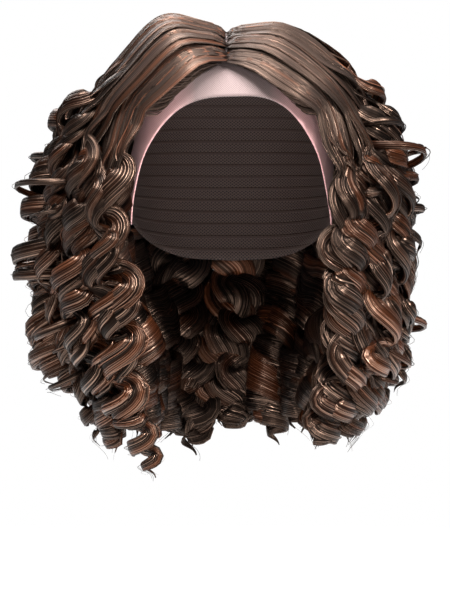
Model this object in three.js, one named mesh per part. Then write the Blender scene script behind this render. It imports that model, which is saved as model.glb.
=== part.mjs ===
// Lace-front wig as worn: a net cap, a lace panel at the brow, and locks of hair that sweep from a
// near-centre part over the crown and hang in corkscrew ringlets.
// Millimetres, +Z up, the face opening towards -Y and +X to the viewer's right.
// The origin is the inside of the crown, where the cap sits on a head.

import * as THREE from "three";

const { clamp, degToRad, lerp, smoothstep } = THREE.MathUtils;

// Head form that the cap is sewn to fit: its centre and its half sizes from there.
const HEAD_CENTRE = new THREE.Vector3(0, 0, -100);
const HEAD = { breadth: 74, depth: 93, crown: 100, nape: 130, roundness: 2.3 };

// Cloth walls, gaps at seams and hair roots, and the steps that the cloth is faceted in.
const NET_WALL = 1.5;
const LACE_WALL = 1;
const SEAM_GAP = 0.4;
const ROOT_GAP = 0.6;
const NET_STEPS = { columns: 32, rows: 6 };
const LACE_STEPS = { columns: 24, rows: 3 };

// Lace panel, in degrees: azimuth from the middle of the brow, and the angles down from the crown
// to its seam with the net and to its free edge on the brow and temples.
const LACE_EDGES = [
  { azimuth: -64, seam: 92, edge: 113 },
  { azimuth: -55, seam: 58, edge: 97 },
  { azimuth: -43, seam: 34, edge: 78 },
  { azimuth: -24, seam: 20, edge: 59 },
  { azimuth: 0, seam: 15, edge: 53 },
  { azimuth: 24, seam: 20, edge: 58 },
  { azimuth: 42, seam: 34, edge: 79 },
  { azimuth: 53, seam: 58, edge: 101 },
  { azimuth: 64, seam: 92, edge: 118 },
];
// Net cap's free edge behind the lace, in degrees: over the ear and down to the nape.
const NET_EDGES = [
  { azimuth: 64, edge: 92 },
  { azimuth: 88, edge: 97 },
  { azimuth: 118, edge: 112 },
  { azimuth: 150, edge: 121 },
  { azimuth: 180, edge: 123 },
];

// Corkscrews that the locks hang in.
const PITCH = 47;
const OUTER_COIL_RADIUS = 13;
const INNER_COIL_RADIUS = 10;
const STEPS_PER_TURN = 7;
const WAVE_STEPS = 6;
// Section across a lock, as shares of its half width and half thickness: flat towards the coil's
// middle and domed away from it.
const LOCK_SECTION = [
  [1, -0.5],
  [0.55, 0.8],
  [-0.55, 0.8],
  [-1, -0.5],
];
// Half sizes of a lock along its length, from its root or top (0) to its end (1).
const WAVE_PROFILE = [
  { along: 0, halfWidth: 7.5, halfThickness: 3 },
  { along: 0.5, halfWidth: 11, halfThickness: 4.8 },
  { along: 1, halfWidth: 12.5, halfThickness: 4.5 },
];
const RINGLET_PROFILE = [
  { along: 0, halfWidth: 12.5, halfThickness: 4.5 },
  { along: 0.3, halfWidth: 12, halfThickness: 4.2 },
  { along: 0.75, halfWidth: 10.5, halfThickness: 3.8 },
  { along: 1, halfWidth: 3, halfThickness: 1.2 },
];
const INNER_PROFILE = [
  { along: 0, halfWidth: 9, halfThickness: 3 },
  { along: 0.3, halfWidth: 11, halfThickness: 3.6 },
  { along: 0.8, halfWidth: 9.5, halfThickness: 3.2 },
  { along: 1, halfWidth: 3, halfThickness: 1.2 },
];

// Part: its offset from the middle, and the height where the locks leave the crown to hang.
const PART_X = -4;
const HANG_Z = -54;
// Outer locks from the brow to the middle of the back: azimuth, angle of the root along the part
// from the crown, the root's distance from the part, the share of the full lift, and end heights.
const OUTER_LOCKS = [
  { azimuth: 45, rootAngle: 36, rootX: 4, lift: 0.45, endLeft: -304, endRight: -292 },
  { azimuth: 60.5, rootAngle: 27, rootX: 4, lift: 0.93, endLeft: -296, endRight: -290 },
  { azimuth: 75.5, rootAngle: 18, rootX: 4, lift: 0.95, endLeft: -283, endRight: -276 },
  { azimuth: 90, rootAngle: 9, rootX: 4, lift: 1, endLeft: -266, endRight: -262 },
  { azimuth: 105, rootAngle: 0, rootX: 6, lift: 1, endLeft: -262, endRight: -266 },
  { azimuth: 120, rootAngle: -8.5, rootX: 11, lift: 1, endLeft: -268, endRight: -264 },
  { azimuth: 135, rootAngle: -18.5, rootX: 15, lift: 0.97, endLeft: -272, endRight: -275 },
  { azimuth: 150, rootAngle: -28, rootX: 16, lift: 0.79, endLeft: -279, endRight: -276 },
  { azimuth: 165, rootAngle: -39, rootX: 13, lift: 0.63, endLeft: -278, endRight: -283 },
  { azimuth: 180, rootAngle: -52, rootX: 0, lift: 0.57, endLeft: -286, endRight: -286 },
];
// How far a lock stands off the head on its way from the part, at shares of the way.
const LIFTS = [
  { share: 0.3, left: 25, right: 14 },
  { share: 0.68, left: 26, right: 22 },
];
// Half sizes of the ring that the outer locks' axes hang on, by height.
const OUTER_RING = [
  { z: -300, left: 88, right: 84, front: 86, back: 100 },
  { z: -250, left: 109, right: 103, front: 98, back: 124 },
  { z: -205, left: 124, right: 117, front: 109, back: 140 },
  { z: -165, left: 128, right: 120, front: 112, back: 145 },
  { z: -125, left: 128, right: 120, front: 110, back: 145 },
  { z: -88, left: 122, right: 116, front: 104, back: 136 },
  { z: -54, left: 110, right: 107, front: 91, back: 122 },
];

// Inner locks, rooted low on the cap and hanging round the neck.
const INNER_AZIMUTHS = [84, 108, 132, 156, 180, -156, -132, -108, -84];
const INNER_ROOT_ANGLE = 74;
const INNER_END_Z = -290;
// Their axes by height: share of the head's own radius, and how far they stand off it.
const INNER_RING = [
  { z: -300, share: 0.6, standOff: 15 },
  { z: -250, share: 0.65, standOff: 15 },
  { z: -205, share: 0.76, standOff: 15 },
  { z: -165, share: 0.94, standOff: 17.5 },
  { z: -130, share: 1, standOff: 17 },
  { z: -98, share: 1, standOff: 12 },
];

// Looks of the three materials.
const HAIR = { color: 0x3a2620, roughness: 0.45, metalness: 0 };
const LACE = { color: 0xb98f8c, roughness: 0.85, metalness: 0 };
const NET = { color: 0x1f1613, roughness: 0.9, metalness: 0 };

// Value of a table's column at x, on a smooth curve through its rows.
function tableValue(rows, key, column, x) {
  const last = rows.length - 1;
  let i = 0;
  while (i < last - 1 && x > rows[i + 1][key]) i++;
  const slope = (j) => {
    const before = rows[Math.max(j - 1, 0)];
    const after = rows[Math.min(j + 1, last)];
    return (after[column] - before[column]) / (after[key] - before[key]);
  };
  const span = rows[i + 1][key] - rows[i][key];
  const t = clamp((x - rows[i][key]) / span, 0, 1);
  const bend = slope(i) * span * t * (1 - t) ** 2 - slope(i + 1) * span * t * t * (1 - t);
  return lerp(rows[i][column], rows[i + 1][column], t * t * (3 - 2 * t)) + bend;
}

// A repeatable spread of values from -1 to 1, so that no two inner locks are quite alike.
const scatter = (seed) => Math.sin(seed * 12.99 + 1);

const directionAt = (azimuth, polar) =>
  new THREE.Vector3(
    Math.sin(degToRad(polar)) * Math.sin(degToRad(azimuth)),
    -Math.sin(degToRad(polar)) * Math.cos(degToRad(azimuth)),
    Math.cos(degToRad(polar)),
  );

function headRadius(direction) {
  const reach = direction.z > 0 ? HEAD.crown : HEAD.nape;
  const sum =
    Math.abs(direction.x / HEAD.breadth) ** HEAD.roundness +
    Math.abs(direction.y / HEAD.depth) ** HEAD.roundness +
    Math.abs(direction.z / reach) ** HEAD.roundness;
  return sum ** (-1 / HEAD.roundness);
}

const offHead = (direction, distance) =>
  HEAD_CENTRE.clone().addScaledVector(direction, headRadius(direction) + distance);

// Closed solid from points and faces of three or four corners, counter-clockwise from outside.
// A face of four is split along its shorter diagonal.
function solidOf(points, faces) {
  const index = faces.flatMap(([a, b, c, d]) => {
    if (d === undefined) return [a, b, c];
    const split = points[a].distanceTo(points[c]) <= points[b].distanceTo(points[d]);
    return split ? [a, b, c, a, c, d] : [a, b, d, b, c, d];
  });
  return new THREE.BufferGeometry().setFromPoints(points).setIndex(index);
}

// Cloth of an even wall on the head form, on a grid whose columns run round it and rows down it.
// pointAt(row, column, distance) gives a place on the grid, that far off the head.
function clothGeometry({ rows, columns }, wall, pointAt) {
  const points = [];
  const place = new Map();
  for (const skin of [0, 1]) {
    for (let row = 0; row <= rows; row++) {
      for (let column = 0; column <= columns; column++) {
        place.set(`${skin},${row},${column}`, points.length);
        points.push(pointAt(row, column, skin * wall));
      }
    }
  }
  const inner = (row, column) => place.get(`0,${row},${column}`);
  const outer = (row, column) => place.get(`1,${row},${column}`);
  const faces = [];
  for (let row = 0; row < rows; row++) {
    for (let column = 0; column < columns; column++) {
      const [below, next] = [row + 1, column + 1];
      faces.push([outer(row, column), outer(below, column), outer(below, next), outer(row, next)]);
      faces.push([inner(row, column), inner(row, next), inner(below, next), inner(below, column)]);
    }
    const [below, last] = [row + 1, columns];
    faces.push([outer(row, 0), inner(row, 0), inner(below, 0), outer(below, 0)]);
    faces.push([inner(row, last), outer(row, last), outer(below, last), inner(below, last)]);
  }
  for (let column = 0; column < columns; column++) {
    const next = column + 1;
    faces.push([inner(0, column), outer(0, column), outer(0, next), inner(0, next)]);
    faces.push([outer(rows, column), inner(rows, column), inner(rows, next), outer(rows, next)]);
  }
  return solidOf(points, faces);
}

function laceFront() {
  const first = LACE_EDGES[0].azimuth;
  const last = LACE_EDGES[LACE_EDGES.length - 1].azimuth;
  return clothGeometry(LACE_STEPS, LACE_WALL, (row, column, distance) => {
    const azimuth = lerp(first, last, column / LACE_STEPS.columns);
    const seam = tableValue(LACE_EDGES, "azimuth", "seam", azimuth);
    const edge = tableValue(LACE_EDGES, "azimuth", "edge", azimuth);
    const polar = lerp(seam, edge, row / LACE_STEPS.rows);
    return offHead(directionAt(azimuth, polar), distance);
  });
}

// Angle down from the crown to the net cap's edge, clear of the lace's seam.
function netEdge(azimuth) {
  const turned = azimuth > 180 ? azimuth - 360 : azimuth;
  const lace = LACE_EDGES[LACE_EDGES.length - 1].azimuth;
  const gapAngle = THREE.MathUtils.radToDeg(SEAM_GAP / HEAD.breadth);
  return Math.abs(turned) < lace
    ? tableValue(LACE_EDGES, "azimuth", "seam", turned) - gapAngle
    : tableValue(NET_EDGES, "azimuth", "edge", Math.abs(turned)) - gapAngle;
}

// Dome with one point at the crown of each skin and rings down to its edge.
function netCap() {
  const { columns, rows } = NET_STEPS;
  const points = [];
  const faces = [];
  for (const skin of [0, 1]) {
    points.push(offHead(new THREE.Vector3(0, 0, 1), skin * NET_WALL));
    for (let row = 1; row <= rows; row++) {
      for (let column = 0; column < columns; column++) {
        const azimuth = (360 * column) / columns;
        const polar = (netEdge(azimuth) * row) / rows;
        points.push(offHead(directionAt(azimuth, polar), skin * NET_WALL));
      }
    }
  }
  const skinSize = 1 + rows * columns;
  const at = (skin, row, column) =>
    skin * skinSize + (row === 0 ? 0 : 1 + (row - 1) * columns + (column % columns));
  for (let column = 0; column < columns; column++) {
    const next = column + 1;
    faces.push([at(1, 0, 0), at(1, 1, column), at(1, 1, next)]);
    faces.push([at(0, 0, 0), at(0, 1, next), at(0, 1, column)]);
    for (let row = 1; row < rows; row++) {
      const below = row + 1;
      faces.push([at(1, row, column), at(1, below, column), at(1, below, next), at(1, row, next)]);
      faces.push([at(0, row, column), at(0, row, next), at(0, below, next), at(0, below, column)]);
    }
    faces.push([at(1, rows, column), at(0, rows, column), at(0, rows, next), at(1, rows, next)]);
  }
  return solidOf(points, faces);
}

// Place on the outer ring of hanging axes.
function outerRingAt(azimuth, z) {
  const angle = degToRad(azimuth);
  const side = tableValue(OUTER_RING, "z", azimuth < 0 ? "left" : "right", z);
  const depth = tableValue(OUTER_RING, "z", Math.cos(angle) > 0 ? "front" : "back", z);
  const radius = 1 / Math.hypot(Math.sin(angle) / side, Math.cos(angle) / depth);
  return new THREE.Vector3(radius * Math.sin(angle), -radius * Math.cos(angle), z);
}

// Place on the inner ring of hanging axes.
function innerRingAt(azimuth, z) {
  const share = tableValue(INNER_RING, "z", "share", z);
  const standOff = tableValue(INNER_RING, "z", "standOff", z);
  const radius = headRadius(directionAt(azimuth, 90)) * share + standOff;
  return directionAt(azimuth, 90).multiplyScalar(radius).setZ(z);
}

// Heights from the top of a hanging axis to its end, in even steps of about a given length.
function heightsBetween(top, end, step) {
  const count = Math.round((top - end) / step);
  return Array.from({ length: count + 1 }, (_, i) => lerp(top, end, i / count));
}

// A lock's centre line: a smooth axis through points, wound into a corkscrew from coilStart on.
class Lock {
  constructor(points, coilIndex, coilRadius, turnSense) {
    this.axis = new THREE.CatmullRomCurve3(points, false, "catmullrom", 0.5);
    const steps = 40;
    const lengths = this.axis.getLengths(steps * (points.length - 1));
    this.length = lengths[lengths.length - 1];
    this.coilStart = lengths[steps * coilIndex];
    this.turnSense = turnSense;
    this.coilRadius = coilRadius;
  }

  // Centre and outward direction at a distance along the axis.
  at(distance) {
    const share = clamp(distance / this.length, 0, 1);
    const centre = this.axis.getPointAt(share);
    const along = this.axis.getTangentAt(share);
    const out = centre.clone().sub(HEAD_CENTRE);
    out.addScaledVector(along, -out.dot(along)).normalize();
    const across = along.clone().cross(out);
    const turns = Math.max(0, distance - this.coilStart) / PITCH;
    const angle = this.turnSense * 2 * Math.PI * turns;
    const normal = out.multiplyScalar(Math.cos(angle)).addScaledVector(across, Math.sin(angle));
    centre.addScaledVector(normal, this.coilRadius * smoothstep(turns, 0, 0.5));
    return { centre, normal };
  }

  // Corners of the section at a distance along the axis, sized at a share of the profile.
  ring(distance, profile, share) {
    const reach = 0.5;
    const { centre, normal } = this.at(distance);
    const along = this.at(distance + reach).centre.sub(this.at(distance - reach).centre).normalize();
    const across = along.clone().cross(normal).normalize();
    const up = across.clone().cross(along);
    const halfWidth = tableValue(profile, "along", "halfWidth", share);
    const halfThickness = tableValue(profile, "along", "halfThickness", share);
    return LOCK_SECTION.map(([x, y]) => {
      const corner = centre.clone().addScaledVector(across, x * halfWidth);
      return corner.addScaledVector(up, y * halfThickness);
    });
  }

  // Solid of the lock between two distances along its axis.
  solid(from, to, steps, profile) {
    const rings = [];
    for (let i = 0; i <= steps; i++) {
      rings.push(this.ring(lerp(from, to, i / steps), profile, i / steps));
    }
    return sweptSolid(rings);
  }
}

// Solid through rings of four points, with its first and last ring closed.
function sweptSolid(rings) {
  const sides = rings[0].length;
  const corners = [...rings[0].keys()];
  const faces = [corners, corners.map((corner) => rings.length * sides - 1 - corner)];
  for (let ring = 0; ring + 1 < rings.length; ring++) {
    for (const corner of corners) {
      const next = (corner + 1) % sides;
      const [here, beyond] = [ring * sides, (ring + 1) * sides];
      faces.push([here + corner, beyond + corner, beyond + next, here + next]);
    }
  }
  return solidOf(rings.flat(), faces);
}

// Lock made by makeLock(rootOffset), with its root's inner edge one root gap off the cloth.
function seatedLock(makeLock, profile) {
  const firstOffset = NET_WALL + profile[0].halfThickness;
  const ring = makeLock(firstOffset).ring(0, profile, 0);
  const clearances = [0, 0.25, 0.5, 0.75, 1].map((share) => {
    const direction = ring[0].clone().lerp(ring[3], share).sub(HEAD_CENTRE);
    const reach = direction.length();
    return reach - clothRadius(direction.normalize());
  });
  return makeLock(firstOffset + ROOT_GAP - Math.min(...clearances));
}

// Distance from the head's centre to the outside of the cap or lace.
function clothRadius(direction) {
  const far = 2 * HEAD.nape;
  const from = HEAD_CENTRE.clone().addScaledVector(direction, far);
  const hits = new THREE.Raycaster(from, direction.clone().negate()).intersectObjects([cap, lace]);
  return hits.length ? far - hits[0].distance : headRadius(direction) + NET_WALL;
}

// Outer lock: from the part, over the crown at its lift, and down the outer ring.
function outerLock(side, row) {
  const azimuth = side * row.azimuth;
  const rootAngle = degToRad(row.rootAngle);
  const rootY = -HEAD.crown * Math.sin(rootAngle);
  const rootZ = HEAD.crown * Math.cos(rootAngle);
  const root = new THREE.Vector3(PART_X + side * row.rootX, rootY, rootZ).normalize();
  const hang = outerRingAt(azimuth, HANG_Z).sub(HEAD_CENTRE).normalize();
  const pole = root.clone().cross(hang).normalize();
  const turn = root.angleTo(hang);
  const lifted = LIFTS.map(({ share, left, right }) => {
    const direction = root.clone().applyAxisAngle(pole, turn * share);
    return offHead(direction, row.lift * (side < 0 ? left : right));
  });
  const end = side < 0 ? row.endLeft : row.endRight;
  const hanging = heightsBetween(HANG_Z, end, 36).map((z) => outerRingAt(azimuth, z));
  return seatedLock((rootOffset) => {
    const points = [offHead(root, rootOffset), ...lifted, ...hanging];
    return new Lock(points, 1 + LIFTS.length, OUTER_COIL_RADIUS, -side);
  }, WAVE_PROFILE);
}

// Inner lock: from its root low on the cap, out and down the inner ring.
function innerLock(azimuth) {
  const root = directionAt(azimuth, INNER_ROOT_ANGLE);
  const end = INNER_END_Z + 5 * scatter(azimuth);
  const top = INNER_RING[INNER_RING.length - 1].z;
  const hanging = heightsBetween(top, end, 36).map((z) => innerRingAt(azimuth, z));
  return seatedLock((rootOffset) => {
    const points = [offHead(root, rootOffset), ...hanging];
    return new Lock(points, 1, INNER_COIL_RADIUS, -Math.sign(azimuth));
  }, INNER_PROFILE);
}

const wig = new THREE.Group();

function addPiece(name, geometry, look) {
  const mesh = new THREE.Mesh(geometry, new THREE.MeshStandardMaterial(look));
  mesh.name = name;
  wig.add(mesh);
  return mesh;
}

const coilSteps = (length) => Math.ceil((length / PITCH) * STEPS_PER_TURN);

const cap = addPiece("net_cap", netCap(), NET);
const lace = addPiece("lace_front", laceFront(), LACE);

// Each outer lock is two pieces: its wave over the crown and its hanging ringlet.
function addOuterLock(label, lock) {
  const wave = lock.solid(0, lock.coilStart - SEAM_GAP / 2, WAVE_STEPS, WAVE_PROFILE);
  addPiece(`wave_${label}`, wave, HAIR);
  const top = lock.coilStart + SEAM_GAP / 2;
  const ringlet = lock.solid(top, lock.length, coilSteps(lock.length - top), RINGLET_PROFILE);
  addPiece(`ringlet_${label}`, ringlet, HAIR);
}

const sideRows = OUTER_LOCKS.slice(0, -1);
sideRows.forEach((row, index) => addOuterLock(`left_${index + 1}`, outerLock(-1, row)));
sideRows.forEach((row, index) => addOuterLock(`right_${index + 1}`, outerLock(1, row)));
addOuterLock("back", outerLock(1, OUTER_LOCKS[OUTER_LOCKS.length - 1]));

INNER_AZIMUTHS.forEach((azimuth, index) => {
  const lock = innerLock(azimuth);
  const solid = lock.solid(0, lock.length, coilSteps(lock.length), INNER_PROFILE);
  addPiece(`inner_ringlet_${index + 1}`, solid, HAIR);
});

export default wig;
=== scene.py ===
"""Looks of a lace-front wig: hair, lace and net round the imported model. Sizes in millimetres."""

import math

import bpy
import numpy as np
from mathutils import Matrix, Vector


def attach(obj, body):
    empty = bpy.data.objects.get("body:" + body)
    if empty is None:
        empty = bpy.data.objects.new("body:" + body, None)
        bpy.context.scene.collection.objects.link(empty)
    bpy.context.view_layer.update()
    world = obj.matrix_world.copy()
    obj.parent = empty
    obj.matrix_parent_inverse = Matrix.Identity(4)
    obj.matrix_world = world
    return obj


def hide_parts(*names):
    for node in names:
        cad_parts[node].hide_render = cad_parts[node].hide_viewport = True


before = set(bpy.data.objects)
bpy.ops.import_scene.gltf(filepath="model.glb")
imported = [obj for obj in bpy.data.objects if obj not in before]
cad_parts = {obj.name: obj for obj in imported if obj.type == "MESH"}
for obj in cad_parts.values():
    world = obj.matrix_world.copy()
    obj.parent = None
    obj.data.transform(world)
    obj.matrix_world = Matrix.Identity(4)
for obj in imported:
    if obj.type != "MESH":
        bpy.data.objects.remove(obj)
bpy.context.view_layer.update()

MM = 0.001
RNG = np.random.default_rng(8)


class Table:
    """Smooth curves through rows: the first column is the place that the others are read at."""

    def __init__(self, columns, *rows):
        self.columns = columns.split()
        self.rows = np.array(rows, float)

    def at(self, column, place):
        places = self.rows[:, 0]
        values = self.rows[:, self.columns.index(column)]
        last = len(places) - 1
        before = np.maximum(np.arange(last + 1) - 1, 0)
        after = np.minimum(np.arange(last + 1) + 1, last)
        slopes = (values[after] - values[before]) / (places[after] - places[before])
        i = np.clip(np.searchsorted(places, place) - 1, 0, last - 1)
        span = places[i + 1] - places[i]
        t = np.clip((place - places[i]) / span, 0, 1)
        bend = span * t * (1 - t) * (slopes[i] * (1 - t) - slopes[i + 1] * t)
        return values[i] + (values[i + 1] - values[i]) * ease(t) + bend


def rows_of(columns, *rows):
    """Rows as dicts of named columns."""
    return [dict(zip(columns.split(), row)) for row in rows]


def ease(t):
    return t * t * (3 - 2 * t)


def ramp(x, low, high):
    """0 below low, 1 above high, smooth between."""
    return ease(np.clip((x - low) / (high - low), 0, 1))


def unit(v):
    return v / np.linalg.norm(v, axis=-1, keepdims=True)


def dot(a, b):
    return (a * b).sum(-1, keepdims=True)


# Head form and cloth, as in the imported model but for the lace's edge, which is lower at the brow
HEAD_CENTRE = np.array([0.0, 0.0, -100.0])
HEAD_BREADTH, HEAD_DEPTH, HEAD_CROWN, HEAD_NAPE = 74, 93, 100, 130
HEAD_ROUNDNESS = 2.3
NET_WALL, LACE_WALL, SEAM_GAP = 1.5, 1.0, 0.4
LACE_EDGES = Table(
    "azimuth seam edge",
    (-64, 92, 113),
    (-55, 58, 97),
    (-43, 34, 78),
    (-24, 20, 61.5),
    (0, 15, 57),
    (24, 20, 60.5),
    (42, 34, 79),
    (53, 58, 101),
    (64, 92, 118),
)
LACE_AZIMUTH = 64
NET_EDGES = Table("azimuth edge", (64, 92), (88, 97), (118, 112), (150, 121), (180, 123))

# Locks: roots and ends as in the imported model, with rounder, closer curls and a domed crown behind
PITCH = 47
OUTER_COIL_RADIUS, INNER_COIL_RADIUS = 16.5, 10
WAVE_PROFILE = Table("along width thickness", (0, 7.5, 3), (0.5, 11, 4.8), (1, 12.5, 4.5))
RINGLET_PROFILE = Table(
    "along width thickness", (0, 12.5, 4.5), (0.3, 12, 4.2), (0.75, 11, 4.0), (1, 7, 3)
)
INNER_PROFILE = Table(
    "along width thickness", (0, 11, 4), (0.3, 13, 4.6), (0.8, 12, 4.2), (1, 7, 3)
)
PART_X, HANG_Z = -4, -54
ROOT_OFFSET = 3.6
OUTER_LOCKS = rows_of(
    "azimuth root_angle root_x lift end_left end_right early tightness wavy spring aside behind auburn",
    (45, 36, 4, 0.62, -304, -292, 0.2, 0.4, 1, 0.2, 2, 0, 0.45),
    (60.5, 27, 4, 0.8, -296, -290, 0.4, 0.7, 1, 0.4, 0, 0, 0.5),
    (75.5, 18, 4, 0.95, -283, -276, 1.3, 1, 0.7, 0.7, 0, 0, 0.55),
    (90, 9, 4, 1, -266, -262, 1.7, 1, 0.5, 1, 0, 0, 0.55),
    (105, 0, 6, 1, -262, -266, 1.7, 1, 0.5, 1, 0, 0.3, 0.5),
    (120, -8.5, 11, 1, -268, -264, 1.1, 1, 0.5, 0.6, 0, 0.6, 0.4),
    (135, -18.5, 15, 1, -272, -275, 0.6, 1.1, 0.9, 0.6, 0, 1, 0.3),
    (150, -28, 16, 1, -279, -276, 0.4, 1.25, 0.9, 0.6, 0, 1, 0.3),
    (165, -39, 13, 0.95, -278, -283, 0.3, 1.25, 0.9, 0.6, 0, 1, 0.3),
    (180, -52, 0, 0.95, -286, -286, 0.3, 1.25, 0.9, 0.6, 0, 1, 0.3),
)
LIFTS = rows_of("share left right back", (0.3, 25, 14, 16), (0.68, 26, 20, 27))
OUTER_RING = Table(
    "z left right front back",
    (-300, 86, 82, 84, 98),
    (-250, 106, 100, 95, 120),
    (-205, 120, 112, 105, 135),
    (-165, 123, 114, 108, 139),
    (-125, 123, 114, 107, 139),
    (-88, 117, 107, 102, 131),
    (-54, 105, 96, 90, 118),
)
INNER_AZIMUTHS = [84, 108, 132, 156, 180, -156, -132, -108, -84]
INNER_ROOT_ANGLE, INNER_TOP_Z, INNER_END_Z, INNER_END_SPREAD = 74, -98, -290, 5
INNER_RING = Table(
    "z share stand_off",
    (-300, 0.6, 15),
    (-250, 0.65, 15),
    (-205, 0.76, 15),
    (-165, 0.94, 17.5),
    (-130, 1, 17),
    (-98, 1, 12),
)
AXIS_STEP = 36

# Hair: rings for each turn and for a straight stretch, sides, counts and radii
RIBBON_RINGS, STRAND_RINGS, STRAIGHT_TURN = 16, 11, 140
RIBBON_SIDES, LOOP_SIDES, TUBE_SIDES = 12, 6, 3
OUTER_RIBBONS = dict(main=3, layered=4)
INNER_RIBBONS = dict(main=3, layered=2, loops=0)
TEMPLE_RIBBONS = dict(main=2, layered=0, loops=0)
SPRINGY_LOOPS, SPRINGY = 3, 0.5
OUTER_STRANDS, OUTER_STRAYS = 16, 2
INNER_STRANDS, INNER_STRAYS, TEMPLE_STRANDS = 6, 1, 8
STRAND_RADIUS, STRAY_RADIUS = (0.28, 0.5), (0.15, 0.24)

# How ribbons lie: at the part and the roots, over the crown and where they bunch into curls
ROOT_SEAT, ROOT_RISE, PART_RISE, CLOTH_CLEARANCE = 1.7, 12, 22, 4.5
PART_HALF_WIDTH, PART_BLUR, PART_END_ANGLE, PART_CROSSING = 0.9, 6, -5, 3
FULLNESS, INNER_FULLNESS, INNER_BEHIND = 1.35, 1.8, 0.8
LAYERED_MIDDLE, LAYERED_HALF, LOOP_HALF = 0.8, (0.25, 0.4), (0.1, 0.17)
WAVE_DEPTH, COIL_DEPTH, LOOP_DEPTH = 0.08, 0.55, 0.3
CROWN_SPREAD, BEHIND_SPREAD, BUNCH_MIDDLE, BUNCH_HALF = 0.45, 0.5, 0.65, 0.9
DOME, CROWN_RISE, RIBBON_RISE, LAYERED_RISE = 0.2, 0.08, 0.3, 0.6
CROWN_WIDTH, CROWN_WIDTH_END, BEHIND_ROOT_WIDTH, BEHIND_WIDTH = 1.4, 0.94, 0.8, 0.3

# How ribbons curl, in turns of the corkscrew and shares of its radius
PITCH_RANGE, COIL_LAG, END_TURNS, END_STRETCH = (0.7, 0.95), 0.3, 0.8, 1.2
LOOSE_TOP, TIGHTEN, END_RISE = 0.92, 0.02, 24
GATHER_TURNS, SETTLE_TURNS, OPEN_TURNS, LOOSE_TURNS = (-0.2, 1.3), 1.4, 1.3, (1, 3)
CURLED_TURNS, FIRST_CUT, LAST_CUT, LATE_FRONT = (1.6, 2.4), 1, 0.97, 1.2
CURL_IN, CURL_IN_TURNS, FLICK_TURNS = 0.65, 0.9, 0.8
WAVY_FLAT, CORKSCREW_FLAT, WAVY_SHALLOW, WAVY_REACH = 0.75, 0.15, 0.6, 0.65
SWELL, SPRING_SWELL, STRAND_SWELL = (0.8, 1.15), (0.2, 0.8), 0.5
PHASE, PHASE_SPREAD, DRIFT = 0.7, 0.25, 0.04
WANDER, WANDER_SHARE, WANDER_LENGTH, WANDER_TURN, WANDER_SWELL = 6, (0.4, 1), (14, 30), 0.4, 0.2
STAND, FLICK, MAIN_FLICK = 8, 9, 0.4
LEFT_SPRING, RIGHT_SPRING = 0.85, 0.9
MAIN_ENDS = (0.95, 1.035)
ANY_ANGLE = 6.3

# Short locks at the temples, which only the render has
TEMPLE_LOCKS = rows_of(
    "azimuth polar end", (56, 60, -175), (59.5, 71, -205), (62, 82, -190), (65, 92, -225)
)
TEMPLE_POINTS = rows_of("share stand_off", (0, ROOT_OFFSET), (0.5, 10), (1, 18))
TEMPLE_SWEEP, TEMPLE_DROP, TEMPLE_STAND_OFF, TEMPLE_COIL_RADIUS = 16, 16, 8, 7
TEMPLE_PROFILE = Table("along width thickness", (0, 5, 2.5), (0.4, 9, 3.5), (1, 5, 2.5))

# Short hairs at the hairline: their length, and how far they stand past the front lock's edge
HAIRLINE_HAIRS, HAIRLINE_RINGS, HAIRLINE_LENGTH, HAIRLINE_RISE = 150, 9, (26, 46), 34
HAIRLINE_START, HAIRLINE_END, HAIRLINE_RADIUS = 2, 0.8, (0.16, 0.32)
HAIRLINE_EDGE, HAIRLINE_DRAWN_IN, HAIRLINE_UP = (0.95, 1.25), 0.5, (-0.2, 0.5)


def direction_at(azimuth, polar):
    a, p = np.radians(azimuth), np.radians(polar)
    return np.stack([np.sin(p) * np.sin(a), -np.sin(p) * np.cos(a), np.cos(p) + 0 * a], -1)


def head_radius(direction):
    reach = np.where(direction[..., 2] > 0, HEAD_CROWN, HEAD_NAPE)
    total = np.abs(direction[..., 0] / HEAD_BREADTH) ** HEAD_ROUNDNESS
    total += np.abs(direction[..., 1] / HEAD_DEPTH) ** HEAD_ROUNDNESS
    total += np.abs(direction[..., 2] / reach) ** HEAD_ROUNDNESS
    return total ** (-1 / HEAD_ROUNDNESS)


def off_head(direction, distance):
    return HEAD_CENTRE + direction * (head_radius(direction) + distance)[..., None]


def turned(start, end, share):
    """Direction that share of the way round from one direction to another."""
    angle = np.arccos(np.clip(dot(start, end), -1, 1))
    share = np.asarray(share)[..., None]
    return (np.sin((1 - share) * angle) * start + np.sin(share * angle) * end) / np.sin(angle)


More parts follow.
